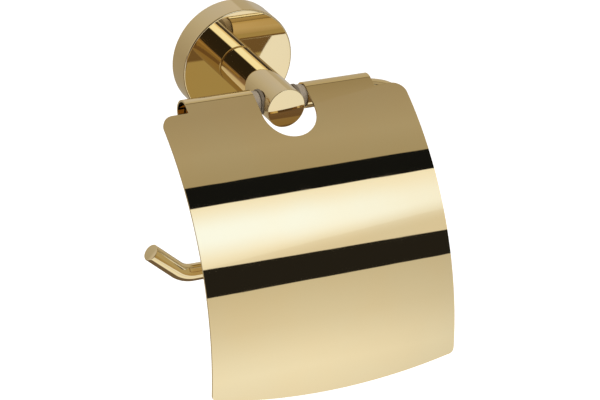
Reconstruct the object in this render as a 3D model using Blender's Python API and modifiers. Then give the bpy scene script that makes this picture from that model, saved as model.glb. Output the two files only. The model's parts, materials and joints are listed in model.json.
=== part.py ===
"""Wall-hung toilet roll holder: a round rosette carries a short post, a bent wire
runs through the post and carries the roll, and a curved sheet cover hinges on the
wire's top bar, on two plastic bushes.

Frame: origin on the wall, in the middle of the rosette; +X to the right, +Y into
the wall, +Z up. A depth is measured from the wall towards the room, along -Y.
Units are metres.
"""

import math

import bmesh
import bpy
from mathutils import Matrix, Vector

MM = 0.001

# Clearances
FACE_GAP = 0.3 * MM  # between faces that touch on the real holder
SCREW_GAP = 0.3 * MM  # round a screw in its hole
EDGE_ROUND_STEPS = 3

# Screws, with hexagon sockets given to their corners
POST_SCREW_RADIUS = 3 * MM
POST_SCREW_LENGTH = 18 * MM
POST_SCREW_HEAD_RADIUS = 5 * MM
POST_SCREW_HEAD_HEIGHT = 5 * MM
POST_SCREW_HEX = 2.5 * MM
LOCK_WASHER_THICKNESS = 1.2 * MM
LOCK_WASHER_OVERHANG = 0.8 * MM  # beyond the screw's head
GRUB_RADIUS = 2 * MM
GRUB_TIP_RADIUS = 1.2 * MM
GRUB_RECESS = 0.6 * MM  # how far the outer end lies below the surface
GRUB_HEX = 1.15 * MM
GRUB_HEX_DEPTH = 2 * MM

# Wall bracket: a plate with a hub, grooved for the rosette's grub screw
BRACKET_PLATE = 2.5 * MM
BRACKET_HUB_RISE = 6.5 * MM
BRACKET_HUB_WALL = 6.5 * MM
BRACKET_CLEARANCE = 0.8 * MM
GROOVE_DEPTH = 3.2 * MM
GROOVE_FLOOR = 3 * MM
GROOVE_CENTRE = 5.5 * MM
WALL_SCREW_RADIUS = 2.3 * MM
WALL_SCREW_SPREAD = 11 * MM  # each hole's distance from the middle
HEAD_ROOM = 1.7 * MM  # between the bracket's plate and the post screw's head

# Rosette: as deep as the pieces inside it need
ROSETTE_RADIUS = 29.7 * MM
ROSETTE_WALL = 3.5 * MM
ROSETTE_FRONT = 3 * MM
ROSETTE_EDGE_ROUND = 0.8 * MM
SCREW_STACK = POST_SCREW_HEAD_HEIGHT + FACE_GAP + LOCK_WASHER_THICKNESS + FACE_GAP
ROSETTE_DEPTH = BRACKET_PLATE + HEAD_ROOM + SCREW_STACK + ROSETTE_FRONT

# Post
HINGE_DEPTH = 56 * MM  # the wire's top bar, which is also the cover's hinge
POST_RADIUS = 10 * MM
POST_BEYOND_HINGE = 11 * MM
POST_EDGE_ROUND = 0.35 * MM
SPOTFACE_DEPTH = 1.5 * MM  # flat seats for the friction washers, in the post's sides
SPOTFACE_CLEARANCE = 0.4 * MM
POST_END_DEPTH = HINGE_DEPTH + POST_BEYOND_HINGE
SPOTFACE_FROM_CENTRE = POST_RADIUS - SPOTFACE_DEPTH

# Bushes in the cover's curls, and friction washers between them and the post
WIRE_RADIUS = 4.4 * MM
BUSH_WALL = 0.5 * MM
BUSH_COLLAR_LIP = 0.2 * MM  # how far the collar overlaps the curl's end
BUSH_SLEEVE_LENGTH = 25 * MM
BUSH_EDGE_ROUND = 0.3 * MM
WASHER_WALL = 1.6 * MM
WASHER_THICKNESS = 1.7 * MM
WASHER_EDGE_ROUND = 0.4 * MM
BUSH_BORE = WIRE_RADIUS + FACE_GAP
WASHER_RADIUS = BUSH_BORE + WASHER_WALL

# Cover
COVER_WIDTH = 131.4 * MM
SHEET = 1 * MM
COVER_START_SLOPE = math.radians(26.6)  # below the horizontal, where the curl starts
COVER_BEND = 140.6 * MM
COVER_LENGTH = 154.25 * MM  # from the curl to the middle of the bottom edge
BOTTOM_EDGE_RADIUS = 297 * MM
BOTTOM_CORNER = 3 * MM
SHOULDER_DROP = 5 * MM  # the shoulders' top edge below the curl
SHOULDER_CORNER = 6.75 * MM
SHOULDER_LEAST_FLAT = 1 * MM
POST_CLEARANCE = 4.3 * MM  # on either side of the post
NOTCH_DEPTH = 26.2 * MM
CURL_LENGTH = 35.8 * MM
NOTCH_HALF_WIDTH = POST_RADIUS + POST_CLEARANCE
CURL_END = NOTCH_HALF_WIDTH + CURL_LENGTH
CURL_INSIDE = BUSH_BORE + BUSH_WALL + FACE_GAP
CURL_RADIUS = CURL_INSIDE + SHEET  # outer skin
CURL_TURN = 2 * math.pi - math.acos(1 - (SHEET + FACE_GAP) / CURL_RADIUS)  # lip clears sheet
CURL_STEP = math.radians(9)
SHEET_STEPS = 30
CUT_MARGIN = 8 * MM

# Roll wire
TOP_BAR_END = -(CURL_END - 8.5 * MM)  # inside the left curl
TOP_BAR_STRAIGHT = CURL_END - 10.1 * MM  # the bend starts gently inside the right curl
GENTLE_BEND = 64 * MM
GENTLE_ANGLE = math.radians(16)
WIRE_BEND = 22 * MM
WIRE_BEND_STEP = math.radians(7.5)
LOWER_BAR_DROP = 88.4 * MM
TIP_BEND = 14 * MM
TIP_CORNER = -45 * MM  # where the lower bar and the tip would meet without a bend
TIP_LENGTH = 23.8 * MM  # from that corner to the flat end
TIP_ANGLE = math.radians(40)

# Finishes: colour, roughness, metallic
GOLD = ((0.95, 0.74, 0.36), 0.06, 1.0)
PLASTIC = ((0.33, 0.27, 0.22), 0.45, 0.0)
RUBBER = ((0.13, 0.11, 0.09), 0.60, 0.0)
ZINC = ((0.55, 0.55, 0.53), 0.45, 1.0)
STEEL = ((0.10, 0.10, 0.11), 0.40, 1.0)


def clear_scene():
    for obj in list(bpy.data.objects):
        bpy.data.objects.remove(obj, do_unlink=True)


def new_collection(name):
    collection = bpy.data.collections.new(name)
    bpy.context.scene.collection.children.link(collection)
    return collection


clear_scene()
PARTS = new_collection("toilet_roll_holder")
CUTTERS = new_collection("cutters")
CUTTERS.hide_render = True


def finish(name, look):
    """A material from one of the finishes above."""
    colour, roughness, metallic = look
    material = bpy.data.materials.new(name)
    material.use_nodes = True
    shader = material.node_tree.nodes["Principled BSDF"]
    shader.inputs["Base Color"].default_value = (*colour, 1.0)
    shader.inputs["Roughness"].default_value = roughness
    shader.inputs["Metallic"].default_value = metallic
    return material


def add_object(name, data, look=None):
    """Links a sub-part or, with no look, a cutter."""
    obj = bpy.data.objects.new(name, data)
    if look:
        data.materials.append(finish(name, look))
        PARTS.objects.link(obj)
    else:
        obj.hide_render = True
        obj.display_type = "WIRE"
        CUTTERS.objects.link(obj)
    return obj


def mesh_from(bm, name):
    mesh = bpy.data.meshes.new(name)
    bm.to_mesh(mesh)
    bm.free()
    return mesh


# Turned shapes have their axis along local Z. These turn it to a world direction.
TO_ROOM = Matrix.Rotation(math.pi / 2, 4, "X")
TO_RIGHT = Matrix.Rotation(math.pi / 2, 4, "Y")
TO_LEFT = Matrix.Rotation(-math.pi / 2, 4, "Y")
UP = Matrix.Identity(4)
DOWN = Matrix.Rotation(math.pi, 4, "X")


def turned(name, profile, axis, place, look, closed=False, steps=64):
    """Turns a profile of (radius, height) points, given from top to bottom."""
    bm = bmesh.new()
    points = [bm.verts.new((radius, 0, height)) for radius, height in profile]
    for first, second in zip(points, points[1:]):
        bm.edges.new((first, second))
    if closed:
        bm.edges.new((points[-1], points[0]))
    obj = add_object(name, mesh_from(bm, name), look)
    obj.matrix_world = Matrix.Translation(place) @ axis
    turn = obj.modifiers.new("turn", "SCREW")
    turn.axis = "Z"
    turn.steps = steps
    turn.render_steps = steps
    turn.use_merge_vertices = True
    turn.merge_threshold = 0.00001
    turn.use_smooth_shade = False
    return obj


def rounded(corner, radius, start_angle, end_angle):
    """Points of a fillet in a (radius, height) profile, round its centre."""
    step = (end_angle - start_angle) / EDGE_ROUND_STEPS
    angles = [start_angle + step * number for number in range(EDGE_ROUND_STEPS + 1)]
    return [
        (corner[0] + radius * math.cos(angle), corner[1] + radius * math.sin(angle))
        for angle in angles
    ]


def bar_cutter(name, radius, start, end, sides=48):
    """A cylinder, or a prism with few sides, from start to end."""
    direction = end - start
    bm = bmesh.new()
    bmesh.ops.create_cone(
        bm, cap_ends=True, segments=sides, radius1=radius, radius2=radius, depth=direction.length
    )
    obj = add_object(name, mesh_from(bm, name))
    turn = direction.to_track_quat("Z", "Y").to_matrix().to_4x4()
    obj.matrix_world = Matrix.Translation((start + end) / 2) @ turn
    return obj


def outline_cutter(name, points, frame, low, high):
    """A flat outline in the frame's XY plane, made thick along its Z from low to high."""
    curve = bpy.data.curves.new(name, "CURVE")
    curve.dimensions = "2D"
    curve.fill_mode = "BOTH"
    curve.extrude = (high - low) / 2
    spline = curve.splines.new("POLY")
    spline.points.add(len(points) - 1)
    for point, (x, y) in zip(spline.points, points):
        point.co = (x, y, 0, 1)
    spline.use_cyclic_u = True
    flat = bpy.data.objects.new(name + "_outline", curve)
    CUTTERS.objects.link(flat)
    evaluated = flat.evaluated_get(bpy.context.evaluated_depsgraph_get())
    mesh = bpy.data.meshes.new_from_object(evaluated)
    bpy.data.objects.remove(flat, do_unlink=True)
    bm = bmesh.new()
    bm.from_mesh(mesh)
    bmesh.ops.remove_doubles(bm, verts=bm.verts, dist=0.000001)
    bmesh.ops.recalc_face_normals(bm, faces=bm.faces)
    bm.to_mesh(mesh)
    bm.free()
    obj = add_object(name, mesh)
    obj.matrix_world = frame @ Matrix.Translation((0, 0, (low + high) / 2))
    return obj


def cut(obj, *cutters):
    for cutter in cutters:
        boolean = obj.modifiers.new("cut_" + cutter.name, "BOOLEAN")
        boolean.operation = "DIFFERENCE"
        boolean.solver = "EXACT"
        boolean.object = cutter


def arc(centre, radius, start_angle, end_angle, steps):
    """Points on a circle, both ends included."""
    turn = (end_angle - start_angle) / steps
    angles = [start_angle + turn * number for number in range(steps + 1)]
    return [
        (centre[0] + radius * math.cos(angle), centre[1] + radius * math.sin(angle))
        for angle in angles
    ]


# Wall bracket and rosette

ROSETTE_INSIDE = ROSETTE_RADIUS - ROSETTE_WALL
BRACKET_RADIUS = ROSETTE_INSIDE - BRACKET_CLEARANCE
GROOVE_RADIUS = BRACKET_RADIUS - GROOVE_DEPTH


def make_bracket():
    """A cast plate with a hub, grooved all round for the rosette's grub screw."""
    hub_rim = BRACKET_RADIUS - GROOVE_DEPTH / 3
    hub_end = BRACKET_PLATE + BRACKET_HUB_RISE
    recess = GROOVE_RADIUS - BRACKET_HUB_WALL
    groove_top = GROOVE_CENTRE + GROOVE_FLOOR / 2
    groove_bottom = GROOVE_CENTRE - GROOVE_FLOOR / 2
    profile = [
        (0, BRACKET_PLATE),
        (recess, BRACKET_PLATE),
        (recess, hub_end),
        (hub_rim, hub_end),
        (GROOVE_RADIUS, groove_top),
        (GROOVE_RADIUS, groove_bottom),
        (BRACKET_RADIUS, BRACKET_PLATE),
        (BRACKET_RADIUS, 0),
        (0, 0),
    ]
    bracket = turned("wall_bracket", profile, TO_ROOM, (0, 0, 0), ZINC)
    for side, word in ((-1, "left"), (1, "right")):
        centre = Vector((side * WALL_SCREW_SPREAD, 0, 0))
        reach = Vector((0, BRACKET_PLATE + CUT_MARGIN, 0))
        hole = bar_cutter("wall_screw_hole_" + word, WALL_SCREW_RADIUS, centre + reach, centre - reach)
        cut(bracket, hole)


def make_rosette():
    """A round cup, open to the wall, with the post's screw through its front."""
    round_centre = (ROSETTE_RADIUS - ROSETTE_EDGE_ROUND, ROSETTE_DEPTH - ROSETTE_EDGE_ROUND)
    hole = POST_SCREW_RADIUS + SCREW_GAP
    profile = [(hole, ROSETTE_DEPTH)]
    profile += rounded(round_centre, ROSETTE_EDGE_ROUND, math.pi / 2, 0)
    profile += [
        (ROSETTE_RADIUS, 0),
        (ROSETTE_INSIDE, 0),
        (ROSETTE_INSIDE, ROSETTE_DEPTH - ROSETTE_FRONT),
        (hole, ROSETTE_DEPTH - ROSETTE_FRONT),
    ]
    rosette = turned("rosette", profile, TO_ROOM, (0, 0, 0), GOLD, closed=True, steps=80)
    grub_hole = bar_cutter(
        "rosette_grub_hole",
        GRUB_RADIUS + SCREW_GAP,
        Vector((0, -GROOVE_CENTRE, -ROSETTE_RADIUS - CUT_MARGIN)),
        Vector((0, -GROOVE_CENTRE, -GROOVE_RADIUS)),
    )
    cut(rosette, grub_hole)


def make_grub_screw(name, depth, outer, inner, look):
    """A vertical grub screw: its socket is at height -outer, its tip at -inner."""
    length = outer - inner
    taper = GRUB_RADIUS - GRUB_TIP_RADIUS
    profile = [(0, length), (GRUB_TIP_RADIUS, length), (GRUB_RADIUS, length - taper)]
    profile += [(GRUB_RADIUS, 0), (0, 0)]
    screw = turned(name, profile, UP, (0, -depth, -outer), look, steps=24)
    socket = bar_cutter(
        name + "_socket",
        GRUB_HEX,
        Vector((0, -depth, -outer - CUT_MARGIN)),
        Vector((0, -depth, -outer + GRUB_HEX_DEPTH)),
        sides=6,
    )
    cut(screw, socket)


# Post, with the screw that holds it to the rosette

POST_START = ROSETTE_DEPTH + FACE_GAP
POST_SCREW_END = ROSETTE_DEPTH - ROSETTE_FRONT + POST_SCREW_LENGTH


def make_post():
    """A round bar, bored across for the wire and tapped at the back for its screw."""
    round_centre = (POST_RADIUS - POST_EDGE_ROUND, POST_END_DEPTH - POST_EDGE_ROUND)
    profile = [(0, POST_END_DEPTH)]
    profile += rounded(round_centre, POST_EDGE_ROUND, math.pi / 2, 0)
    profile += [(POST_RADIUS, POST_START), (0, POST_START)]
    post = turned("post", profile, TO_ROOM, (0, 0, 0), GOLD, steps=64)
    hinge = Vector((0, -HINGE_DEPTH, 0))
    across = Vector((POST_RADIUS + CUT_MARGIN, 0, 0))
    cut(post, bar_cutter("wire_bore", WIRE_RADIUS + SCREW_GAP, hinge - across, hinge + across))
    for side, word in ((-1, "left"), (1, "right")):
        seat = hinge + Vector((side * SPOTFACE_FROM_CENTRE, 0, 0))
        spotface = bar_cutter(
            "spotface_" + word,
            WASHER_RADIUS + SPOTFACE_CLEARANCE,
            seat,
            hinge + across * side,
        )
        cut(post, spotface)
    screw_hole = bar_cutter(
        "post_screw_hole",
        POST_SCREW_RADIUS + SCREW_GAP,
        Vector((0, 0, 0)),
        Vector((0, -POST_SCREW_END - 2 * FACE_GAP, 0)),
    )
    grub_hole = bar_cutter(
        "wire_grub_hole",
        GRUB_RADIUS + SCREW_GAP,
        hinge,
        hinge - Vector((0, 0, POST_RADIUS + CUT_MARGIN)),
    )
    cut(post, screw_hole, grub_hole)


def make_post_screw():
    """A cap screw from inside the rosette into the post, and its lock washer."""
    washer_seat = ROSETTE_DEPTH - ROSETTE_FRONT - FACE_GAP
    washer_back = washer_seat - LOCK_WASHER_THICKNESS
    washer_radius = POST_SCREW_HEAD_RADIUS + LOCK_WASHER_OVERHANG
    hole = POST_SCREW_RADIUS + SCREW_GAP
    ring = [(hole, washer_seat), (washer_radius, washer_seat)]
    ring += [(washer_radius, washer_back), (hole, washer_back)]
    turned("lock_washer", ring, TO_ROOM, (0, 0, 0), STEEL, closed=True, steps=32)
    seat = washer_back - FACE_GAP
    head_end = seat - POST_SCREW_HEAD_HEIGHT
    profile = [
        (0, POST_SCREW_END),
        (POST_SCREW_RADIUS, POST_SCREW_END),
        (POST_SCREW_RADIUS, seat),
        (POST_SCREW_HEAD_RADIUS, seat),
        (POST_SCREW_HEAD_RADIUS, head_end),
        (0, head_end),
    ]
    screw = turned("post_screw", profile, TO_ROOM, (0, 0, 0), STEEL, steps=32)
    socket = bar_cutter(
        "post_screw_socket",
        POST_SCREW_HEX,
        Vector((0, CUT_MARGIN, 0)),
        Vector((0, -head_end - POST_SCREW_HEAD_HEIGHT / 2, 0)),
        sides=6,
    )
    cut(screw, socket)


# Roll wire


def wire_path():
    """The wire's centre line as (x, z): top bar, right leg, lower bar, raised tip."""
    quarter = round(math.pi / 2 / WIRE_BEND_STEP)
    lower = -LOWER_BAR_DROP
    points = [(TOP_BAR_END, 0)]
    turned = math.pi / 2 - GENTLE_ANGLE
    steps = round(GENTLE_ANGLE / WIRE_BEND_STEP) * 2
    points += arc((TOP_BAR_STRAIGHT, -GENTLE_BEND), GENTLE_BEND, math.pi / 2, turned, steps)
    step_in = GENTLE_BEND - WIRE_BEND
    bend_x = TOP_BAR_STRAIGHT + step_in * math.sin(GENTLE_ANGLE)
    bend_z = -GENTLE_BEND + step_in * math.cos(GENTLE_ANGLE)
    points += arc((bend_x, bend_z), WIRE_BEND, turned, 0, quarter - 2)[1:]
    points += arc((bend_x, lower + WIRE_BEND), WIRE_BEND, 0, -math.pi / 2, quarter)
    bend_start = TIP_CORNER + TIP_BEND * math.tan(TIP_ANGLE / 2)
    steps = round(TIP_ANGLE / WIRE_BEND_STEP)
    turn_start = -math.pi / 2
    centre = (bend_start, lower + TIP_BEND)
    points += arc(centre, TIP_BEND, turn_start, turn_start - TIP_ANGLE, steps)
    tip_x = TIP_CORNER - TIP_LENGTH * math.cos(TIP_ANGLE)
    points.append((tip_x, lower + TIP_LENGTH * math.sin(TIP_ANGLE)))
    return points


def make_wire():
    curve = bpy.data.curves.new("roll_wire", "CURVE")
    curve.dimensions = "3D"
    curve.bevel_depth = WIRE_RADIUS
    curve.bevel_resolution = 6
    curve.use_fill_caps = True
    points = wire_path()
    spline = curve.splines.new("POLY")
    spline.points.add(len(points) - 1)
    for point, (x, z) in zip(spline.points, points):
        point.co = (x, -HINGE_DEPTH, z, 1)
    add_object("roll_wire", curve, GOLD)


# Cover and its bushes. The cover is turned about the hinge, so both hang on one empty.


def sheet_place(length):
    """Place (y, z) and slope of the sheet's outer skin, that far below the curl."""
    slope = COVER_START_SLOPE + length / COVER_BEND
    start_y = -HINGE_DEPTH - CURL_RADIUS * math.sin(COVER_START_SLOPE)
    start_z = CURL_RADIUS * math.cos(COVER_START_SLOPE)
    y = start_y - COVER_BEND * (math.sin(slope) - math.sin(COVER_START_SLOPE))
    z = start_z - COVER_BEND * (math.cos(COVER_START_SLOPE) - math.cos(slope))
    return y, z, slope


def sheet_frame(length):
    """Local X along the width, Y down the sheet and Z through it, from the outside in."""
    y, z, slope = sheet_place(length)
    frame = Matrix.Rotation(-math.pi + slope, 4, "X")
    frame.translation = (0, y, z)
    return frame


def cover_skin():
    """The side view of the outer skin, from the curl's lip to the bottom edge."""
    hinge = (-HINGE_DEPTH, 0)
    tangent = math.pi / 2 + COVER_START_SLOPE
    steps = round(CURL_TURN / CURL_STEP)
    points = arc(hinge, CURL_RADIUS, tangent - CURL_TURN, tangent, steps)
    run = COVER_LENGTH + CUT_MARGIN
    for number in range(1, SHEET_STEPS + 1):
        y, z, _slope = sheet_place(run * number / SHEET_STEPS)
        points.append((y, z))
    return points


def bottom_outline():
    """What is cut away below the bottom edge, in the frame of the edge's middle."""
    half = COVER_WIDTH / 2
    side = half - BOTTOM_CORNER
    rise = BOTTOM_EDGE_RADIUS - math.sqrt(BOTTOM_EDGE_RADIUS**2 - side**2)
    reach = math.asin(side / BOTTOM_EDGE_RADIUS)
    centre = (0, -BOTTOM_EDGE_RADIUS)
    right = (side, -rise - BOTTOM_CORNER)
    left = (-side, -rise - BOTTOM_CORNER)
    edge_angle = math.pi / 2
    points = [(half + CUT_MARGIN, right[1])]
    points += arc(right, BOTTOM_CORNER, 0, edge_angle, 4)
    points += arc(centre, BOTTOM_EDGE_RADIUS, edge_angle - reach, edge_angle + reach, 24)[1:-1]
    points += arc(left, BOTTOM_CORNER, edge_angle, math.pi, 4)
    points += [(-half - CUT_MARGIN, left[1])]
    points += [(-half - CUT_MARGIN, 2 * CUT_MARGIN), (half + CUT_MARGIN, 2 * CUT_MARGIN)]
    return points


def shoulder_outline(side):
    """What is cut off beside the curl, above one shoulder, from the curl's tangent on."""
    half = COVER_WIDTH / 2
    back = -CURL_RADIUS - CUT_MARGIN
    corner = min(SHOULDER_CORNER, half - CURL_END - SHOULDER_LEAST_FLAT)
    centre = (half - corner, SHOULDER_DROP + corner)
    points = [(CURL_END, back), (CURL_END, SHOULDER_DROP)]
    points += arc(centre, corner, -math.pi / 2, 0, 8)
    points += [(half + CUT_MARGIN, centre[1]), (half + CUT_MARGIN, back)]
    return [(side * x, y) for x, y in points]


def curl_end_outline(side):
    """What is left of the curl itself under one shoulder."""
    far = COVER_WIDTH / 2 + CUT_MARGIN
    back = -CURL_RADIUS - CUT_MARGIN
    front = CURL_RADIUS + SHEET
    points = [(CURL_END, back), (CURL_END, front), (far, front), (far, back)]
    return [(side * x, y) for x, y in points]


def notch_outline():
    """The slot that lets the post through: straight sides and a round bottom."""
    back = -CURL_RADIUS - CUT_MARGIN
    centre = (0, NOTCH_DEPTH - NOTCH_HALF_WIDTH)
    points = [(-NOTCH_HALF_WIDTH, back)]
    points += arc(centre, NOTCH_HALF_WIDTH, math.pi, 0, 24)
    points.append((NOTCH_HALF_WIDTH, back))
    return points


def make_cover(hinge):
    """One bent sheet: rolled into two curls at the top, cut round the post."""
    bm = bmesh.new()
    half = COVER_WIDTH / 2
    points = [bm.verts.new((-half, y, z)) for y, z in cover_skin()]
    edges = [bm.edges.new(pair) for pair in zip(points, points[1:])]
    swept = bmesh.ops.extrude_edge_only(bm, edges=edges)
    moved = [item for item in swept["geom"] if isinstance(item, bmesh.types.BMVert)]
    bmesh.ops.translate(bm, verts=moved, vec=(COVER_WIDTH, 0, 0))
    bmesh.ops.recalc_face_normals(bm, faces=bm.faces)
    cover = add_object("cover", mesh_from(bm, "cover"), GOLD)
    wall = cover.modifiers.new("sheet", "SOLIDIFY")
    wall.thickness = SHEET
    wall.offset = -1
    top = sheet_frame(0)
    barrel = 2 * CURL_RADIUS + CUT_MARGIN
    notch = outline_cutter("notch", notch_outline(), top, -CUT_MARGIN, barrel)
    bottom = outline_cutter(
        "bottom_edge", bottom_outline(), sheet_frame(COVER_LENGTH), -CUT_MARGIN, CUT_MARGIN
    )
    cut(cover, notch, bottom)
    for side, word in ((-1, "left"), (1, "right")):
        shoulder = outline_cutter(
            "shoulder_" + word, shoulder_outline(side), top, -CUT_MARGIN, barrel
        )
        curl_end = outline_cutter(
            "curl_end_" + word, curl_end_outline(side), top, 2 * SHEET, barrel
        )
        cut(cover, shoulder, curl_end)
    hang(cover, hinge)


def make_bush(side, word, hinge):
    """A plastic sleeve in the curl, with a collar against the curl's end, and the
    friction washer that fills the space between that collar and the post."""
    washer_start = SPOTFACE_FROM_CENTRE + FACE_GAP
    washer_end = washer_start + WASHER_THICKNESS
    collar_start = washer_end + FACE_GAP
    collar_end = NOTCH_HALF_WIDTH - FACE_GAP
    sleeve = BUSH_BORE + BUSH_WALL
    collar = CURL_INSIDE + BUSH_COLLAR_LIP
    sleeve_end = collar_end + BUSH_SLEEVE_LENGTH
    axis = TO_RIGHT if side > 0 else TO_LEFT
    place = (0, -HINGE_DEPTH, 0)
    ring = collar_profile(WASHER_RADIUS, washer_start, washer_end, WASHER_EDGE_ROUND)
    ring = [(BUSH_BORE, washer_end)] + ring + [(BUSH_BORE, washer_start)]
    washer = turned("friction_washer_" + word, ring, axis, place, RUBBER, closed=True, steps=48)
    profile = [(BUSH_BORE, sleeve_end), (sleeve, sleeve_end), (sleeve, collar_end)]
    profile += collar_profile(collar, collar_start, collar_end, BUSH_EDGE_ROUND)
    profile += [(BUSH_BORE, collar_start)]
    bush = turned("bush_" + word, profile, axis, place, PLASTIC, closed=True, steps=48)
    hang(washer, hinge)
    hang(bush, hinge)


def collar_profile(radius, start, end, edge_round):
    """The outside of a ring with rounded rims, from its far end to its near end."""
    rim = radius - edge_round
    points = rounded((rim, end - edge_round), edge_round, math.pi / 2, 0)
    return points + rounded((rim, start + edge_round), edge_round, 0, -math.pi / 2)


def hang(obj, hinge):
    """Parents an object to the hinge, leaving it where it is."""
    bpy.context.view_layer.update()
    world = obj.matrix_world.copy()
    obj.parent = hinge
    obj.matrix_parent_inverse = hinge.matrix_world.inverted()
    obj.matrix_world = world


def make_hinge():
    """An empty on the cover's hinge axis."""
    hinge = bpy.data.objects.new("cover_hinge", None)
    hinge.location = (0, -HINGE_DEPTH, 0)
    PARTS.objects.link(hinge)
    bpy.context.view_layer.update()
    return hinge


def shade_round():
    """Smooth shading on every mesh, with sharp edges kept."""
    for obj in PARTS.objects:
        if obj.type == "MESH":
            obj.data.shade_smooth()
            obj.data.set_sharp_from_angle(angle=math.radians(30))


def build():
    make_bracket()
    make_rosette()
    grub_inner = GROOVE_RADIUS + FACE_GAP
    make_grub_screw(
        "rosette_grub_screw", GROOVE_CENTRE, ROSETTE_RADIUS - GRUB_RECESS, grub_inner, STEEL
    )
    make_post()
    make_post_screw()
    wire_side = WIRE_RADIUS + FACE_GAP
    make_grub_screw("wire_grub_screw", HINGE_DEPTH, POST_RADIUS - GRUB_RECESS, wire_side, STEEL)
    make_wire()
    hinge = make_hinge()
    make_cover(hinge)
    for side, word in ((-1, "left"), (1, "right")):
        make_bush(side, word, hinge)
    shade_round()


build()
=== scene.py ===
"""Toilet roll holder: a turned rosette and post, a bent roll wire and a hinged cover,
all in polished gold, with grey plastic bushes and dark friction washers at the hinge."""

import json
import math

import bpy
from mathutils import Matrix, Vector


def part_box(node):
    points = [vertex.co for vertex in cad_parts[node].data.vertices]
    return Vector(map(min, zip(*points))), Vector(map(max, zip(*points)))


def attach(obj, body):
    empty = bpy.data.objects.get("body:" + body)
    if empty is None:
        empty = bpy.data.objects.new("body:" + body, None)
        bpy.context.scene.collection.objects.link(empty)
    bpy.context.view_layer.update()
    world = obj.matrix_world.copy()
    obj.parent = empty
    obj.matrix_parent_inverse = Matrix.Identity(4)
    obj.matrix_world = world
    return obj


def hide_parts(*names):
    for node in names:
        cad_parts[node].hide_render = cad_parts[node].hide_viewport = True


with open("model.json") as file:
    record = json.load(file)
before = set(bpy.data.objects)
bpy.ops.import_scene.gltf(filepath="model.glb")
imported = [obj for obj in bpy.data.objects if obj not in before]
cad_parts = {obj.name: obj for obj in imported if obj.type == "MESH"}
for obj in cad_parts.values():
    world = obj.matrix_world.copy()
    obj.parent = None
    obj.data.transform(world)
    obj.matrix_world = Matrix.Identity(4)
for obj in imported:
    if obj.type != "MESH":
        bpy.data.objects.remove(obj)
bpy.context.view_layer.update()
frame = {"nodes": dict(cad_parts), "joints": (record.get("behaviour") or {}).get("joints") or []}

MM = 0.001
X, Y, Z = Vector((1, 0, 0)), Vector((0, 1, 0)), Vector((0, 0, 1))

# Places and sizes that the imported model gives

hinge = Vector(frame["joints"][0]["pos_m"])
post_low, post_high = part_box("post")
rosette_low, rosette_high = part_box("rosette")
wire_low, wire_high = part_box("roll_wire")
cover_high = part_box("cover")[1]

POST_RADIUS = post_high.x
POST_FRONT = post_low.y
POST_BACK = post_high.y
ROSETTE_RADIUS = rosette_high.x
ROSETTE_FACE = rosette_low.y
WIRE_RADIUS = wire_high.z - hinge.z
LOWER_BAR = wire_low.z + WIRE_RADIUS
LEG = wire_high.x - WIRE_RADIUS
COVER_HALF = cover_high.x
CURL_RADIUS = cover_high.z - hinge.z

# Sizes inside the pieces, which their boxes don't show

POST_EDGE = 0.35 * MM
POST_BACK_EDGE = 0.7 * MM
CROSS_BORE = 4.7 * MM
SEAT_RADIUS = 6.7 * MM
SEAT_FROM_MIDDLE = 8.5 * MM
SCREW_HOLE = 3.3 * MM
GRUB_HOLE = 2.3 * MM
POST_SCREW_END = 29.1 * MM
ROSETTE_WALL = 3.5 * MM
ROSETTE_FRONT_WALL = 3 * MM
ROSETTE_EDGE = 0.8 * MM
ROSETTE_BACK_EDGE = 0.15 * MM
ROSETTE_GRUB = 5.5 * MM
GRUB_DRILL_START = 24 * MM  # from the rosette's axis, clear of its wall
SLEEVE_RADIUS = 5.3 * MM
BUSH_BORE = 4.5 * MM
COLLAR_GAP = 0.3 * MM  # between a collar and the cover's notch
COLLAR_EDGE = 0.3 * MM
WASHER_EDGE = 0.4 * MM
TOP_BAR_START = -41.6 * MM
TOP_BAR_STRAIGHT = 40 * MM
GENTLE_BEND = 64 * MM
GENTLE_TURN = math.radians(16)
WIRE_BEND = 22 * MM
TIP_BEND = 14 * MM
TIP_CORNER = -45 * MM
TIP_RISE = math.radians(40)
WIRE_END_BEVEL = 0.3 * MM
SHEET = 1 * MM
SHEET_BEND = 140.6 * MM
SHEET_LENGTH = 154.25 * MM
FIRST_SLOPE = math.radians(26.6)
CURL_TURN = math.radians(323.1)
CURL_END = 50.1 * MM
NOTCH_HALF = 14.3 * MM
NOTCH_DEPTH = 26.2 * MM
SHOULDER_DROP = 5 * MM
SHOULDER_CORNER = 6.75 * MM
BOTTOM_CURVE = 297 * MM
BOTTOM_CORNER = 3 * MM
HOLD = 0.05 * MM  # a narrow ring that keeps a flat face flat beside a rounded rim
DRILL_PAST = 2 * MM  # how far a drill comes out of the far side
SPARE = 8 * MM  # how far the sheet and its cutters reach past the cut

# Steps round a full turn

TURNED_STEPS = 256
RING_STEPS = 128
SMALL_HOLE_STEPS = 48


# Working with one piece at a time, as at a bench


def pick(piece):
    bpy.ops.object.select_all(action="DESELECT")
    piece.select_set(True)
    bpy.context.view_layer.objects.active = piece


def in_edit_mode(piece):
    pick(piece)
    bpy.ops.object.mode_set(mode="EDIT")


def out_of_edit_mode():
    bpy.ops.object.mode_set(mode="OBJECT")


def placed(name):
    """Names the new primitive and moves its place and turn into its mesh."""
    piece = bpy.context.object
    piece.name = piece.data.name = name
    bpy.ops.object.transform_apply(location=True, rotation=True, scale=True)
    return piece


def first_point(name, place):
    """A new piece in edit mode that is one point, ready to be drawn out."""
    bpy.ops.object.select_all(action="DESELECT")
    bpy.ops.mesh.primitive_plane_add(size=MM, location=place)
    piece = placed(name)
    in_edit_mode(piece)
    bpy.ops.mesh.select_all(action="SELECT")
    bpy.ops.mesh.merge(type="CENTER")
    return piece


def draw_on(step):
    bpy.ops.mesh.extrude_vertices_move(TRANSFORM_OT_translate={"value": step})


def pull(step):
    bpy.ops.mesh.extrude_region_move(TRANSFORM_OT_translate={"value": step})


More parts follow.
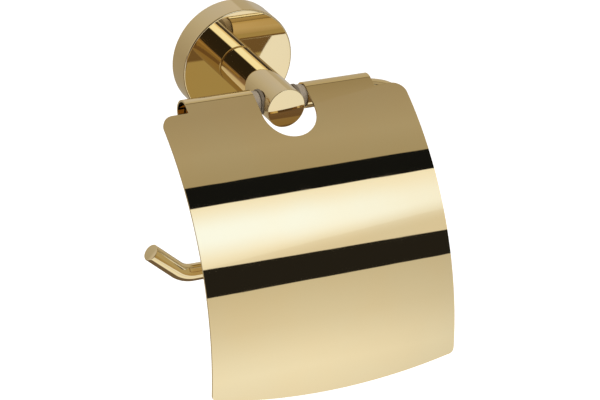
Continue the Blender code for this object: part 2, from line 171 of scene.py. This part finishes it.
def spin(centre, axis, angle, steps):
    bpy.ops.mesh.spin(steps=steps, angle=-angle, center=centre, axis=axis)


def closed_shape(piece):
    """Merges doubles, turns every face outwards and leaves edit mode."""
    bpy.ops.mesh.select_all(action="SELECT")
    bpy.ops.mesh.remove_doubles(threshold=0.002 * MM)
    bpy.ops.mesh.normals_make_consistent(inside=False)
    bpy.ops.mesh.select_all(action="DESELECT")
    out_of_edit_mode()
    return piece


def turned(name, profile, centre, along, steps):
    """A piece turned round an axis, from (radius, distance along the axis) points."""
    points = [centre + along * distance + Z * radius for radius, distance in profile]
    piece = first_point(name, points[0])
    for before, after in zip(points, points[1:]):
        draw_on(after - before)
    bpy.ops.mesh.select_all(action="SELECT")
    spin(centre, along, 2 * math.pi, steps)
    return closed_shape(piece)


def apply(piece, modifier):
    pick(piece)
    bpy.ops.object.modifier_apply(modifier=modifier.name)


def cut_away(piece, tool):
    """Cuts the tool's shape out of a piece and puts the tool away."""
    boolean = piece.modifiers.new("cut", "BOOLEAN")
    boolean.operation = "DIFFERENCE"
    boolean.solver = "EXACT"
    boolean.object = tool
    apply(piece, boolean)
    bpy.data.objects.remove(tool, do_unlink=True)


def drill(piece, radius, start, end, sides=96):
    """Bores a round hole from start to end."""
    way = end - start
    bpy.ops.object.select_all(action="DESELECT")
    bpy.ops.mesh.primitive_cylinder_add(
        vertices=sides,
        radius=radius,
        depth=way.length,
        location=(start + end) / 2,
        rotation=way.to_track_quat("Z", "Y").to_euler(),
    )
    cut_away(piece, placed("drill"))


def arc(centre, radius, start, end, steps=6):
    """Points round a centre from a start angle to an end angle, in degrees."""
    turn = (end - start) / steps
    angles = [math.radians(start + turn * number) for number in range(steps + 1)]
    return [(centre[0] + radius * math.cos(a), centre[1] + radius * math.sin(a)) for a in angles]


def smooth(piece, sharper_than=40):
    """Smooths a piece but for its edges sharper than that, in degrees."""
    pick(piece)
    bpy.ops.object.shade_smooth_by_angle(angle=math.radians(sharper_than))


# Materials


class Wire:
    """One node socket, so that shader maths reads as plain sums."""

    def __init__(self, tree, socket):
        self.tree, self.socket = tree, socket

    def sum(self, operation, first, second):
        settings = {"operation": operation}
        return make_node(self.tree, "ShaderNodeMath", settings, {0: first, 1: second})

    def __add__(self, other):
        return self.sum("ADD", self, other)

    def __sub__(self, other):
        return self.sum("SUBTRACT", self, other)

    def __mul__(self, other):
        return self.sum("MULTIPLY", self, other)

    def __truediv__(self, other):
        return self.sum("DIVIDE", self, other)

    def __rsub__(self, other):
        return self.sum("SUBTRACT", other, self)

    def __rtruediv__(self, other):
        return self.sum("DIVIDE", other, self)

    __radd__ = __add__
    __rmul__ = __mul__


def make_node(tree, kind, settings=None, inputs=None, output=0):
    """Adds a node: its settings first, then values or links into its sockets."""
    node = tree.nodes.new(kind)
    for name, value in (settings or {}).items():
        if name == "stops":
            ramp = node.color_ramp.elements
            while len(ramp) < len(value):
                ramp.new(1.0)
            for element, (place, colour) in zip(ramp, value):
                element.position = place
            for element, (place, colour) in zip(ramp, value):
                element.color = (*colour, 1.0)
        else:
            setattr(node, name, value)
    for name, value in (inputs or {}).items():
        if isinstance(value, Wire):
            tree.links.new(value.socket, node.inputs[name])
        else:
            node.inputs[name].default_value = value
    return Wire(tree, node.outputs[output])


def map_to(value, low, high, to_low=0.0, to_high=1.0, curve="SMOOTHSTEP"):
    """A value's range from low to high becomes to_low to to_high, and stays level outside."""
    return make_node(
        value.tree,
        "ShaderNodeMapRange",
        {"interpolation_type": curve, "clamp": True},
        {"Value": value, "From Min": low, "From Max": high, "To Min": to_low, "To Max": to_high},
    )


def mix(factor, first, second, kind="MIX"):
    """Two colours mixed by a factor."""
    return make_node(
        factor.tree,
        "ShaderNodeMix",
        {"data_type": "RGBA", "blend_type": kind, "clamp_factor": True},
        {0: factor, 6: first, 7: second},
        2,
    )


def new_material(name):
    material = bpy.data.materials.new(name)
    material.use_nodes = True
    tree = material.node_tree
    shader = tree.nodes["Principled BSDF"]
    where = make_node(tree, "ShaderNodeTexCoord", output="Object")
    return material, tree, shader, where


def noise(tree, where, scale, detail=2.0, roughness=0.5):
    return make_node(
        tree,
        "ShaderNodeTexNoise",
        {"noise_dimensions": "3D"},
        {"Vector": where, "Scale": scale, "Detail": detail, "Roughness": roughness},
    )


def feed(tree, shader, **values):
    """Sets a shader's sockets: links for what varies, plain values for the rest."""
    for name, value in values.items():
        socket = shader.inputs[name.replace("_", " ")]
        if isinstance(value, Wire):
            tree.links.new(value.socket, socket)
        else:
            socket.default_value = value


def raised(tree, height, depth, strength=1.0):
    return make_node(
        tree, "ShaderNodeBump", {}, {"Height": height, "Distance": depth, "Strength": strength}
    )


def polished_gold():
    """Mirror-polished plating: faint waves, hairlines from wiping and thin smudges."""
    material, tree, shader, where = new_material("polished_gold")
    tone = map_to(noise(tree, where, 28.0, 3.0), 0.3, 0.7)
    smudge = map_to(noise(tree, where, 55.0, 4.0, 0.6), 0.45, 0.75)
    hairline = map_to(noise(tree, where, 2400.0, 2.0), 0.55, 0.8)
    waves = noise(tree, where, 45.0, 1.0)
    feed(
        tree,
        shader,
        Base_Color=mix(tone, (0.955, 0.765, 0.42, 1), (0.945, 0.775, 0.44, 1)),
        Roughness=0.022 + smudge * 0.015 + hairline * 0.015,
        Metallic=1.0,
        Normal=raised(tree, waves, 0.02 * MM),
    )
    return material


def moulded_plastic():
    """Grey-brown nylon with a fine moulded grain."""
    material, tree, shader, where = new_material("bush_plastic")
    tone = map_to(noise(tree, where, 260.0, 3.0), 0.3, 0.7)
    grain = noise(tree, where, 4200.0, 2.0)
    feed(
        tree,
        shader,
        Base_Color=mix(tone, (0.275, 0.225, 0.165, 1), (0.315, 0.260, 0.190, 1)),
        Roughness=0.34 + grain * 0.14,
        Normal=raised(tree, grain, 0.01 * MM, 0.3),
    )
    return material


def dark_rubber():
    """Dark brown rubber with a dull, slightly uneven skin."""
    material, tree, shader, where = new_material("washer_rubber")
    tone = map_to(noise(tree, where, 320.0, 3.0), 0.3, 0.7)
    grain = noise(tree, where, 3600.0, 3.0)
    feed(
        tree,
        shader,
        Base_Color=mix(tone, (0.135, 0.108, 0.075, 1), (0.175, 0.142, 0.100, 1)),
        Roughness=0.5 + grain * 0.2,
        Normal=raised(tree, grain, 0.03 * MM, 0.6),
    )
    return material


def zinc_casting():
    """Plain die-cast zinc, dull and slightly mottled."""
    material, tree, shader, where = new_material("bracket_zinc")
    tone = map_to(noise(tree, where, 130.0, 4.0, 0.6), 0.3, 0.7)
    pits = noise(tree, where, 1500.0, 4.0, 0.6)
    feed(
        tree,
        shader,
        Base_Color=mix(tone, (0.44, 0.44, 0.43, 1), (0.58, 0.58, 0.56, 1)),
        Roughness=0.38 + pits * 0.25,
        Metallic=1.0,
        Normal=raised(tree, pits, 0.06 * MM, 0.7),
    )
    return material


def blackened_steel():
    """Oiled black steel, worn a little brighter in patches."""
    material, tree, shader, where = new_material("screw_steel")
    worn = map_to(noise(tree, where, 420.0, 4.0, 0.6), 0.5, 0.8)
    grain = noise(tree, where, 3000.0, 3.0)
    feed(
        tree,
        shader,
        Base_Color=mix(worn, (0.07, 0.07, 0.075, 1), (0.16, 0.155, 0.15, 1)),
        Roughness=0.3 + grain * 0.2,
        Metallic=1.0,
        Normal=raised(tree, grain, 0.02 * MM, 0.6),
    )
    return material


GOLD = polished_gold()
PLASTIC = moulded_plastic()
RUBBER = dark_rubber()
ZINC = zinc_casting()
STEEL = blackened_steel()


def finished(piece, material, body, node, sharper_than=40):
    """Gives a piece its finish and lets it stand for its node on its body."""
    piece.data.materials.clear()
    piece.data.materials.append(material)
    smooth(piece, sharper_than)
    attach(piece, body)
    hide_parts(node)
    return piece


# Rosette and post


def make_rosette():
    edge = (ROSETTE_RADIUS - ROSETTE_EDGE, -ROSETTE_FACE - ROSETTE_EDGE)
    inside = ROSETTE_RADIUS - ROSETTE_WALL
    depth = -ROSETTE_FACE
    back_edge = ROSETTE_BACK_EDGE
    profile = [(SCREW_HOLE, depth), (edge[0] - HOLD, depth)]
    profile += arc(edge, ROSETTE_EDGE, 90, 0)
    profile += [(ROSETTE_RADIUS, edge[1] - HOLD), (ROSETTE_RADIUS, back_edge + HOLD)]
    profile += arc((ROSETTE_RADIUS - back_edge, back_edge), back_edge, 0, -90, 3)
    profile += [(inside, 0), (inside, depth - ROSETTE_FRONT_WALL)]
    profile += [(SCREW_HOLE, depth - ROSETTE_FRONT_WALL), (SCREW_HOLE, depth)]
    rosette = turned("rosette_cup", profile, Vector(), -Y, TURNED_STEPS)
    low = Vector((0, -ROSETTE_GRUB, 0))
    start, end = low - Z * GRUB_DRILL_START, low - Z * (ROSETTE_RADIUS + DRILL_PAST)
    drill(rosette, GRUB_HOLE, start, end, SMALL_HOLE_STEPS)
    return finished(rosette, GOLD, "holder", "rosette")


def make_post():
    edge = (POST_RADIUS - POST_EDGE, -POST_FRONT - POST_EDGE)
    profile = [(0, -POST_FRONT), (edge[0] - HOLD, -POST_FRONT)]
    profile += arc(edge, POST_EDGE, 90, 0, 5)
    back = (POST_RADIUS - POST_BACK_EDGE, -POST_BACK + POST_BACK_EDGE)
    profile += [(POST_RADIUS, edge[1] - HOLD), (POST_RADIUS, back[1] + HOLD)]
    profile += arc(back, POST_BACK_EDGE, 0, -90, 5) + [(0, -POST_BACK)]
    post = turned("post_bar", profile, Vector(), -Y, TURNED_STEPS)
    beyond = X * (POST_RADIUS + DRILL_PAST)
    drill(post, CROSS_BORE, hinge - beyond, hinge + beyond)
    for side in (-1, 1):
        drill(post, SEAT_RADIUS, hinge + X * side * SEAT_FROM_MIDDLE, hinge + beyond * side)
    drill(post, SCREW_HOLE, Vector(), Vector((0, -POST_SCREW_END, 0)), SMALL_HOLE_STEPS)
    drill(post, GRUB_HOLE, hinge, hinge - Z * (POST_RADIUS + DRILL_PAST), SMALL_HOLE_STEPS)
    return finished(post, GOLD, "holder", "post")


# Roll wire


def make_wire():
    """A round bar bent twice to the right, gently at first, and once at its open end."""
    bpy.ops.object.select_all(action="DESELECT")
    bpy.ops.mesh.primitive_circle_add(
        vertices=64,
        radius=WIRE_RADIUS,
        fill_type="NGON",
        location=(TOP_BAR_START, hinge.y, hinge.z),
        rotation=(0, math.pi / 2, 0),
    )
    wire = placed("bent_wire")
    in_edit_mode(wire)
    bpy.ops.mesh.select_all(action="SELECT")
    bend = LEG - WIRE_BEND
    pull(X * (TOP_BAR_STRAIGHT - TOP_BAR_START))
    spin((TOP_BAR_STRAIGHT, hinge.y, hinge.z - GENTLE_BEND), Y, GENTLE_TURN, 24)
    step_in = GENTLE_BEND - WIRE_BEND
    bend_height = hinge.z - GENTLE_BEND + step_in * math.cos(GENTLE_TURN)
    spin((bend, hinge.y, bend_height), Y, math.pi / 2 - GENTLE_TURN, 40)
    pull(Z * (LOWER_BAR + WIRE_BEND - bend_height))
    spin((bend, hinge.y, LOWER_BAR + WIRE_BEND), Y, math.pi / 2, 48)
    tip_start = TIP_CORNER + TIP_BEND * math.tan(TIP_RISE / 2)
    pull(X * (tip_start - bend))
    spin((tip_start, hinge.y, LOWER_BAR + TIP_BEND), Y, TIP_RISE, 24)
    rise = Vector((-math.cos(TIP_RISE), 0, math.sin(TIP_RISE)))
    tip_x = wire_low.x + WIRE_RADIUS * math.sin(TIP_RISE)
    bend_end = tip_start - TIP_BEND * math.sin(TIP_RISE)
    pull(rise * (bend_end - tip_x) / math.cos(TIP_RISE))
    bpy.ops.mesh.bevel(offset=WIRE_END_BEVEL, segments=4, profile=0.5)
    bpy.ops.mesh.inset(thickness=HOLD)
    return finished(closed_shape(wire), GOLD, "holder", "roll_wire")


# Cover


SHEET_CENTRE = hinge + Vector(
    (
        0,
        (SHEET_BEND - CURL_RADIUS) * math.sin(FIRST_SLOPE),
        (CURL_RADIUS - SHEET_BEND) * math.cos(FIRST_SLOPE),
    )
)


def on_sheet(length):
    """The outer skin's place and its outward way, that far below the curl."""
    slope = FIRST_SLOPE + length / SHEET_BEND
    outwards = Vector((0, -math.sin(slope), math.cos(slope)))
    return SHEET_CENTRE + outwards * SHEET_BEND, outwards


def cut_outline(cover, length, outline, above, below):
    """Cuts an (across, down the sheet) outline, straight through the sheet there."""
    origin, outwards = on_sheet(length)
    down = X.cross(outwards)
    points = [origin + outwards * above + X * across + down * drop for across, drop in outline]
    tool = first_point("cutter", points[0])
    for before, after in zip(points, points[1:]):
        draw_on(after - before)
    bpy.ops.mesh.select_all(action="SELECT")
    bpy.ops.mesh.edge_face_add()
    pull(outwards * -(above + below))
    cut_away(cover, closed_shape(tool))


def make_cover():
    """One bent sheet: rolled into a curl at its top, then cut to its outline."""
    lip = math.pi / 2 + FIRST_SLOPE - CURL_TURN
    start = hinge + Vector((-COVER_HALF, CURL_RADIUS * math.cos(lip), CURL_RADIUS * math.sin(lip)))
    cover = first_point("cover_sheet", start)
    draw_on(X * 2 * COVER_HALF)
    bpy.ops.mesh.select_all(action="SELECT")
    spin(hinge, X, CURL_TURN, 129)
    spin(SHEET_CENTRE, X, (SHEET_LENGTH + SPARE) / SHEET_BEND, 240)
    closed_shape(cover)
    wall = cover.modifiers.new("wall", "SOLIDIFY")
    wall.thickness = SHEET
    wall.offset = -1
    farthest = min(cover.data.polygons, key=lambda face: face.center.z)
    if farthest.normal.y > 0:
        wall.offset = 1
    apply(cover, wall)
    in_edit_mode(cover)
    closed_shape(cover)
    back = -CURL_RADIUS - SPARE
    barrel = 2 * CURL_RADIUS + SPARE
    notch = [(-NOTCH_HALF, back)]
    notch += arc((0, NOTCH_DEPTH - NOTCH_HALF), NOTCH_HALF, 180, 0, 72)
    notch += [(NOTCH_HALF, back)]
    cut_outline(cover, 0, notch, SPARE, barrel)
    side = COVER_HALF - BOTTOM_CORNER
    reach = math.degrees(math.asin(side / BOTTOM_CURVE))
    rise = BOTTOM_CURVE - math.sqrt(BOTTOM_CURVE**2 - side**2)
    bottom = [(COVER_HALF + SPARE, -rise - BOTTOM_CORNER)]
    bottom += arc((side, -rise - BOTTOM_CORNER), BOTTOM_CORNER, 0, 90, 12)
    bottom += arc((0, -BOTTOM_CURVE), BOTTOM_CURVE, 90 - reach, 90 + reach, 96)[1:-1]
    bottom += arc((-side, -rise - BOTTOM_CORNER), BOTTOM_CORNER, 90, 180, 12)
    bottom += [(-COVER_HALF - SPARE, -rise - BOTTOM_CORNER)]
    bottom += [(-COVER_HALF - SPARE, 2 * SPARE), (COVER_HALF + SPARE, 2 * SPARE)]
    cut_outline(cover, SHEET_LENGTH, bottom, SPARE, SPARE)
    far = COVER_HALF + SPARE
    middle = (COVER_HALF - SHOULDER_CORNER, SHOULDER_DROP + SHOULDER_CORNER)
    for hand in (-1, 1):
        shoulder = [(CURL_END, back), (CURL_END, SHOULDER_DROP)]
        shoulder += arc(middle, SHOULDER_CORNER, -90, 0, 24)
        shoulder += [(far, middle[1]), (far, back)]
        cut_outline(cover, 0, [(hand * x, y) for x, y in shoulder], SPARE, barrel)
        front = CURL_RADIUS + SHEET
        end = [(CURL_END, back), (CURL_END, front), (far, front), (far, back)]
        cut_outline(cover, 0, [(hand * x, y) for x, y in end], -2 * SHEET, barrel)
    return finished(cover, GOLD, "cover", "cover")


# Bushes and friction washers


def ring_outside(radius, start, end, edge):
    """The outside of a ring's profile, with both its edges rounded."""
    points = arc((radius - edge, end - edge), edge, 90, 0, 5)
    return points + arc((radius - edge, start + edge), edge, 0, -90, 5)


def make_bush(side, word):
    """A sleeve in the curl with a collar against the curl's end."""
    low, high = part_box("bush_" + word)
    near, far = sorted((abs(low.x), abs(high.x)))
    collar = high.z - hinge.z
    collar_end = NOTCH_HALF - COLLAR_GAP
    profile = [(BUSH_BORE, far), (SLEEVE_RADIUS, far), (SLEEVE_RADIUS, collar_end)]
    profile += ring_outside(collar, near, collar_end, COLLAR_EDGE)
    profile += [(BUSH_BORE, near), (BUSH_BORE, far)]
    bush = turned("hinge_bush_" + word, profile, hinge, X * side, RING_STEPS)
    return finished(bush, PLASTIC, "cover", "bush_" + word)


def make_washer(side, word):
    """A flat ring between a bush's collar and the post."""
    low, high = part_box("friction_washer_" + word)
    near, far = sorted((abs(low.x), abs(high.x)))
    profile = [(CROSS_BORE, far)]
    profile += ring_outside(high.z - hinge.z, near, far, WASHER_EDGE)
    profile += [(CROSS_BORE, near), (CROSS_BORE, far)]
    washer = turned("friction_ring_" + word, profile, hinge, X * side, RING_STEPS)
    return finished(washer, RUBBER, "cover", "friction_washer_" + word)


make_rosette()
make_post()
make_wire()
make_cover()
for hand, word in ((-1, "left"), (1, "right")):
    make_bush(hand, word)
    make_washer(hand, word)

for node, material in (
    ("wall_bracket", ZINC),
    ("rosette_grub_screw", STEEL),
    ("post_screw", STEEL),
    ("lock_washer", STEEL),
    ("wire_grub_screw", STEEL),
):
    frame["nodes"][node].data.materials.clear()
    frame["nodes"][node].data.materials.append(material)


# Studio: a pale floor far below, and cards and a soft box round the object

FLOOR_SIZE, FLOOR_LEVEL = 6, -0.45
LIGHT_PLACE = Vector((-0.6, -0.9, 1.6))
LIGHT_AIM = Vector((0, -0.05, -0.05))
LIGHT_SIZE, LIGHT_POWER = 1.6, 34
CAMERA_LENS, CAMERA_SENSOR = 157.56, 36
CAMERA_ANGLES = (29.235, 27.076, 4.554)  # azimuth, elevation and roll, in degrees
CAMERA_AIM = Vector((13.67, -63.09, -53.99)) * MM
CAMERA_DISTANCE = 1.3

# Edges of what the polish mirrors, in degrees of lift

EDGE_SOFT = 0.15
LOWER_CARD_START = 16.15
BOX_BOTTOM = 27.65
BOX_TILT = 1.2  # how far the box's bottom edge sinks on the right
BOX_TOP = 52.85
UPPER_CARD_TOP = 61.7
# painted shade: a dark band of lift that the crease between the curl and the sheet mirrors
CURL_CREASE_SHADE = (102.0, 107.5)

BENEATH = (0.38, 0.355, 0.27)
OVERHEAD = (0.372, 0.328, 0.263)
WALL_IN_FRONT = (
    (-150, BENEATH),
    (-46, BENEATH),
    (-34, (0.84, 0.86, 0.93)),
    (-20, (0.90, 0.93, 1.02)),
    (-13, (0.86, 0.88, 0.95)),
    (0, (0.74, 0.73, 0.73)),
    (13, (0.65, 0.63, 0.60)),
    (60, (0.38, 0.34, 0.26)),
    (74, (0.42, 0.38, 0.31)),
    (92, OVERHEAD),
)
WALL_ON_THE_LEFT = (
    (-150, BENEATH),
    (-48, BENEATH),
    (-30, (0.62, 0.65, 0.80)),
    (-19, (0.60, 0.62, 0.75)),
    (-13, (0.26, 0.20, 0.20)),
    (4, (0.19, 0.15, 0.15)),
    (9, (0.030, 0.024, 0.020)),
    (56, (0.020, 0.019, 0.020)),
    (66, OVERHEAD),
    (92, OVERHEAD),
)
WALL_BEHIND = ((0.0, (0.37, 0.33, 0.27)), (0.55, (0.50, 0.47, 0.43)), (1.0, (0.56, 0.55, 0.60)))


def make_floor():
    bpy.ops.object.select_all(action="DESELECT")
    bpy.ops.mesh.primitive_plane_add(size=FLOOR_SIZE, location=(0, 0, FLOOR_LEVEL))
    floor = placed("studio_floor")
    material, tree, shader, where = new_material("pale_floor")
    tone = map_to(noise(tree, where, 2.0, 2.0), 0.3, 0.7)
    feed(
        tree,
        shader,
        Base_Color=mix(tone, (0.9, 0.9, 0.9, 1), (0.93, 0.93, 0.93, 1)),
        Roughness=0.9,
        Emission_Color=(1, 1, 1, 1),
        Emission_Strength=0.6,
    )
    floor.data.materials.append(material)
    floor.visible_glossy = False


def past(value, edge, soft=EDGE_SOFT):
    """0 before an edge and 1 after it."""
    return map_to(value, edge - soft, edge + soft)


def short_of(value, edge, soft=EDGE_SOFT):
    """1 before an edge and 0 after it."""
    return map_to(value, edge - soft, edge + soft, 1.0, 0.0)


def between(value, low, high, soft=EDGE_SOFT):
    return past(value, low, soft) * short_of(value, high, soft)


def from_mirror(depth, number):
    """1 for what is seen in that many pieces one after another, or in more."""
    return past(depth, number + 0.5, 0.1)


def ramp(value, stops):
    """Colours at places from 0 to 1, blended in between."""
    return make_node(value.tree, "ShaderNodeValToRGB", {"stops": stops}, {"Fac": value})


def by_lift(lift, stops):
    """Colours at angles of lift, blended in between."""
    return ramp((lift + 180) / 360, [((degrees + 180) / 360, colour) for degrees, colour in stops])


def walls(lift, across):
    """The room in front and on the left, before anything is put up in it."""
    front = by_lift(lift, WALL_IN_FRONT)
    fading = map_to(across, 0.42, 0.58, 1.0, 0.0) + map_to(lift, 20.0, 30.0)
    front = mix(fading, (0.46, 0.47, 0.50, 1), front)
    left = by_lift(lift, WALL_ON_THE_LEFT)
    return mix(map_to(across, 0.0, 0.09), left, front)


def with_table(colour, lift, again):
    """A white table under the object, and the dark room past its edge."""
    table = map_to(lift, -44.0, -35.0, 1.0, 0.0) * (1 - again)
    colour = mix(table, colour, (0.88, 0.88, 0.88, 1))
    past_table = map_to(lift, -69.0, -65.0, 1.0, 0.0) * (1 - again)
    past_table = past_table + again * between(lift, -88.0, -50.0, 1.0)
    return mix(past_table, colour, (0.16, 0.12, 0.085, 1))


def with_dark_corner(colour, lift, across):
    """The ceiling's darker corner, high up on the right."""
    corner = map_to(lift - across * 168, 15.0, 16.0) * map_to(across, 0.42, 0.435)
    deeper = mix(map_to(lift, 90.0, 101.0), (0.365, 0.318, 0.240, 1), (0.325, 0.275, 0.19, 1))
    return mix(corner * map_to(lift, 84.0, 88.0), colour, deeper)


def box_cloth(lift, across):
    """The soft box's cloth: bright at its lamp, and dimmer past a slanting seam."""
    glow = map_to(lift, 28.0, 40.0) * map_to(lift, 42.0, 54.0, 1.0, 0.0)
    glow = glow * map_to(across, 0.42, 0.52, 1.0, 0.25)
    glow = glow + map_to(across, 0.34, 0.39, 1.0, 0.0)
    cloth = mix(glow, (0.95, 0.98, 1.06, 1), (1.02, 1.22, 1.72, 1))
    shade = map_to(lift - across * 110, -12.0, -22.0)
    seam = map_to(lift - across * 89, -7.8, -7.2, 1.0, 0.0)
    return mix(shade * 0.7 + seam * 0.18, cloth, (0.70, 0.68, 0.66, 1))


def with_box_and_cards(colour, lift, across):
    """A soft box between two black cards, and a grey card on the far right."""
    tilt = map_to(across, 0.40, 0.48, 0.0, BOX_TILT, "LINEAR")
    bottom = BOX_BOTTOM - tilt
    right_part = map_to(across, 0.02, 0.09)
    upper_card = right_part * between(lift, BOX_TOP, UPPER_CARD_TOP)
    colour = mix(upper_card, colour, (0.007, 0.008, 0.010, 1))
    under_box = right_part * short_of(lift - bottom, 0.0)
    lower_card = under_box * past(lift, LOWER_CARD_START)
    colour = mix(lower_card, colour, (0.017, 0.016, 0.016, 1))
    side_card = map_to(across, 0.50, 0.55) * between(lift, 2.0, 22.0, 5.0)
    colour = mix(side_card, colour, (0.075, 0.065, 0.08, 1))
    in_box = right_part * past(lift - bottom, 0.0) * short_of(lift, BOX_TOP)
    return mix(in_box, colour, box_cloth(lift, across))


def with_room_behind(colour, lift, across, back, up):
    """The ceiling and wall behind, and a dark band that paints shade into the crease where the
    curl meets the sheet.
    """
    nearness = across * 0.105 + up * 0.16 + 0.46
    rear = ramp(map_to(nearness, 0.37, 0.6, curve="LINEAR"), WALL_BEHIND)
    above = mix(map_to(across, 0.41, 0.45), (0.57, 0.54, 0.53, 1), (0.475, 0.43, 0.36, 1))
    above = mix(map_to(lift, 104.0, 140.0), (0.48, 0.425, 0.31, 1), above)
    colour = mix(map_to(lift, 101.5, 103.0), colour, above)
    beside = map_to(back, 0.68, 0.76)
    over_hinge = between(lift, 100.0, 174.0, 6.0) * map_to(across, 0.05, 0.41)
    colour = mix(beside * (1 - over_hinge), colour, rear)
    # painted shade along the crease where the curl meets the sheet, as a dark band in the
    # surroundings
    return mix(between(lift, *CURL_CREASE_SHADE), colour, (0.16, 0.13, 0.09, 1))


def make_studio():
    """What the polish mirrors, by direction. Lift is the angle above level at the front,
    over the top and round to the back; across runs from the left to the right."""
    world = bpy.data.worlds.new("studio")
    bpy.context.scene.world = world
    world.use_nodes = True
    tree = world.node_tree
    tree.nodes.clear()
    way = make_node(tree, "ShaderNodeTexCoord", output="Generated")
    parts = tree.nodes.new("ShaderNodeSeparateXYZ")
    tree.links.new(way.socket, parts.inputs[0])
    across, back, up = (Wire(tree, output) for output in parts.outputs)
    depth = make_node(tree, "ShaderNodeLightPath", output="Ray Depth")
    again = from_mirror(depth, 2)
    lift = up.sum("ARCTAN2", up, back * -1) * (180 / math.pi)
    lift = lift + again * map_to(lift, 2.0, 12.0) * 7.0  # pieces close by mirror it higher up
    colour = with_table(walls(lift, across), lift, again)
    colour = with_dark_corner(colour, lift, across)
    colour = with_box_and_cards(colour, lift, across)
    colour = with_room_behind(colour, lift, across, back, up)
    # Painted shade: the surroundings turn dark for rays three and four bounces deep, inside curls
    # and gaps
    deep_bounce_shade = from_mirror(depth, 3) * 0.5 + from_mirror(depth, 4) * 0.4  # curls and gaps
    colour = mix(deep_bounce_shade, colour, (0.15, 0.13, 0.16, 1))
    seen = make_node(tree, "ShaderNodeLightPath", output="Is Camera Ray")
    colour = mix(seen, colour, (1.0, 1.0, 1.0, 1))
    background = make_node(tree, "ShaderNodeBackground", {}, {"Color": colour, "Strength": 1.0})
    output = tree.nodes.new("ShaderNodeOutputWorld")
    tree.links.new(background.socket, output.inputs["Surface"])


def make_camera():
    data = bpy.data.cameras.new("camera")
    data.lens = CAMERA_LENS
    data.sensor_width = CAMERA_SENSOR
    data.clip_start, data.clip_end = 0.05, 20
    camera = bpy.data.objects.new("camera", data)
    bpy.context.scene.collection.objects.link(camera)
    bpy.context.scene.camera = camera
    azimuth, elevation, roll = (math.radians(angle) for angle in CAMERA_ANGLES)
    forward = Vector(
        (
            math.sin(azimuth) * math.cos(elevation),
            math.cos(azimuth) * math.cos(elevation),
            -math.sin(elevation),
        )
    )
    camera.location = CAMERA_AIM - forward * CAMERA_DISTANCE
    level = forward.to_track_quat("-Z", "Y").to_matrix()
    camera.rotation_euler = (level @ Matrix.Rotation(roll, 3, "Z")).to_euler()


def make_soft_light():
    """A wide overhead light that isn't seen in the polish, for the floor and dull pieces."""
    bpy.ops.object.select_all(action="DESELECT")
    bpy.ops.object.light_add(type="AREA", location=LIGHT_PLACE)
    light = bpy.context.object
    light.name = "overhead_light"
    light.data.shape = "DISK"
    light.data.size = LIGHT_SIZE
    light.data.energy = LIGHT_POWER
    way = LIGHT_AIM - LIGHT_PLACE
    light.rotation_euler = way.to_track_quat("-Z", "Y").to_euler()
    light.visible_glossy = False


make_floor()
make_soft_light()
make_studio()
make_camera()
bpy.context.scene.view_settings.view_transform = "Standard"
